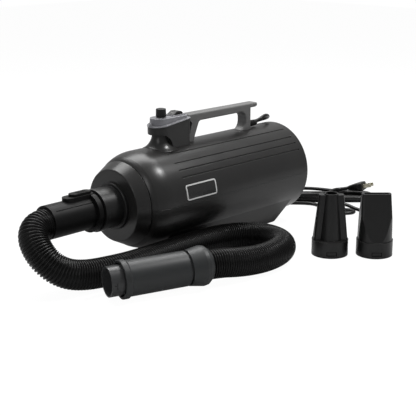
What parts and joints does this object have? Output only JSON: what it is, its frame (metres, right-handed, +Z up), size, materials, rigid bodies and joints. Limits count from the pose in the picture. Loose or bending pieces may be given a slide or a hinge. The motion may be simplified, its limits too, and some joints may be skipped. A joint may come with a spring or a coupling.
{
  "type": "pet dryer",
  "caption": "Lying barrel pet dryer with a top handle and control pod, a ribbed hose with handpiece, spare nozzles and a mains cord.",
  "frame": {"origin": "on the floor under the middle of the base, in the barrel's mid-plane", "axes": "+X along the barrel from the outlet spout to the rear intake, +Z up, -Y the side with the badge plate"},
  "size_m": [0.8001, 0.4103, 0.237],
  "materials": {
    "housing_black": "satin moulded",
    "trim_grey": "satin moulded",
    "handle_grey": "satin moulded",
    "knob_black": "fine textured",
    "hose_black": "flexible, satin",
    "nozzle_black": "satin moulded",
    "rubber": "matt",
    "badge": "bare plate with a pale border",
    "brass_blade": "bright",
    "motor_steel": "plain",
    "iron_core": "laminated",
    "fan_plastic": "moulded",
    "mica": "sheet",
    "heating_wire": "wound",
    "foam": "open cell",
    "board_green": "lacquered",
    "screw_steel": "zinc plated"
  },
  "bodies": {
    "dryer": {"upper_housing": "housing_black", "lower_housing": "housing_black", "base_plate": "housing_black", "rubber_base_ring": "rubber", "nose_cover": "housing_black", "outlet_spout": "housing_black", "badge_plate": "badge", "carrying_handle": "handle_grey", "control_pod": "housing_black", "trim_panel": "trim_grey", "speed_control": "knob_black", "rocker_pin": "screw_steel", "switch_body": "knob_black", "control_board": "board_green", "motor_casing": "motor_steel", "front_bearing": "screw_steel", "rear_bearing": "screw_steel", "motor_stator": "iron_core", "fan_case": "fan_plastic", "fan_mount_ring": "rubber", "motor_carrier": "fan_plastic", "heater_frame": "mica", "heater_element": "heating_wire", "strain_relief": "rubber", "cord_lead": "rubber", "cord_hank": "rubber", "cord_tail": "rubber", "plug_body": "rubber", "plug_blades": "brass_blade", "base_screws": "screw_steel"},
    "intake_cover": {"rear_cover": "housing_black", "filter_foam": "foam"},
    "fan_rotor": {"motor_shaft": "screw_steel", "motor_rotor": "iron_core", "impeller": "fan_plastic"},
    "knob": {"speed_knob": "knob_black", "control_shaft": "screw_steel"},
    "rocker": {"rocker_switch": "knob_black"},
    "hose_end": {"connector_housing": "nozzle_black", "lock_ring": "nozzle_black", "latch_spring": "screw_steel", "ribbed_hose": "hose_black"},
    "latch": {"latch_button": "nozzle_black"},
    "handpiece": {"handpiece_sleeve": "nozzle_black", "handpiece_tube": "nozzle_black", "handpiece_collar": "nozzle_black"},
    "nozzle_round": {"round_nozzle": "nozzle_black"},
    "nozzle_flat": {"flat_nozzle": "nozzle_black"}
  },
  "joints": [
    {"name": "intake_cover_pull", "type": "slide", "parent": "dryer", "child": "intake_cover", "axis": [1, 0, 0], "range_m": [0, 0.03]},
    {"name": "fan_spin", "type": "hinge", "parent": "dryer", "child": "fan_rotor", "pos_m": [0, 0, 0.095], "axis": [1, 0, 0], "continuous": true},
    {"name": "knob_turn", "type": "hinge", "parent": "dryer", "child": "knob", "pos_m": [-0.11, 0, 0.224], "axis": [0, 0, 1], "range_deg": [-270, 0]},
    {"name": "rocker_tilt", "type": "hinge", "parent": "dryer", "child": "rocker", "pos_m": [-0.0785, 0, 0.216], "axis": [0, 1, 0], "range_deg": [-8, 8]},
    {"name": "connector_pull", "type": "slide", "parent": "dryer", "child": "hose_end", "axis": [-1, 0, 0], "range_m": [0, 0.03]},
    {"name": "latch_press", "type": "slide", "parent": "hose_end", "child": "latch", "axis": [0, 0, -1], "range_m": [0, 0.0025], "stiffness_N_per_m": 600, "springref_m": -0.001, "deforming": ["latch_spring"]},
    {"name": "handpiece_swivel", "type": "hinge", "parent": "hose_end", "child": "handpiece", "pos_m": [-0.3185, -0.1303, 0.0293], "axis": [0.9425, -0.3338, 0.014], "continuous": true},
    {"name": "round_nozzle_lift", "type": "slide", "parent": "dryer", "child": "nozzle_round", "axis": [0, 0, 1], "range_m": [0, 0.05]},
    {"name": "flat_nozzle_lift", "type": "slide", "parent": "dryer", "child": "nozzle_flat", "axis": [0, 0, 1], "range_m": [0, 0.05]}
  ]
}
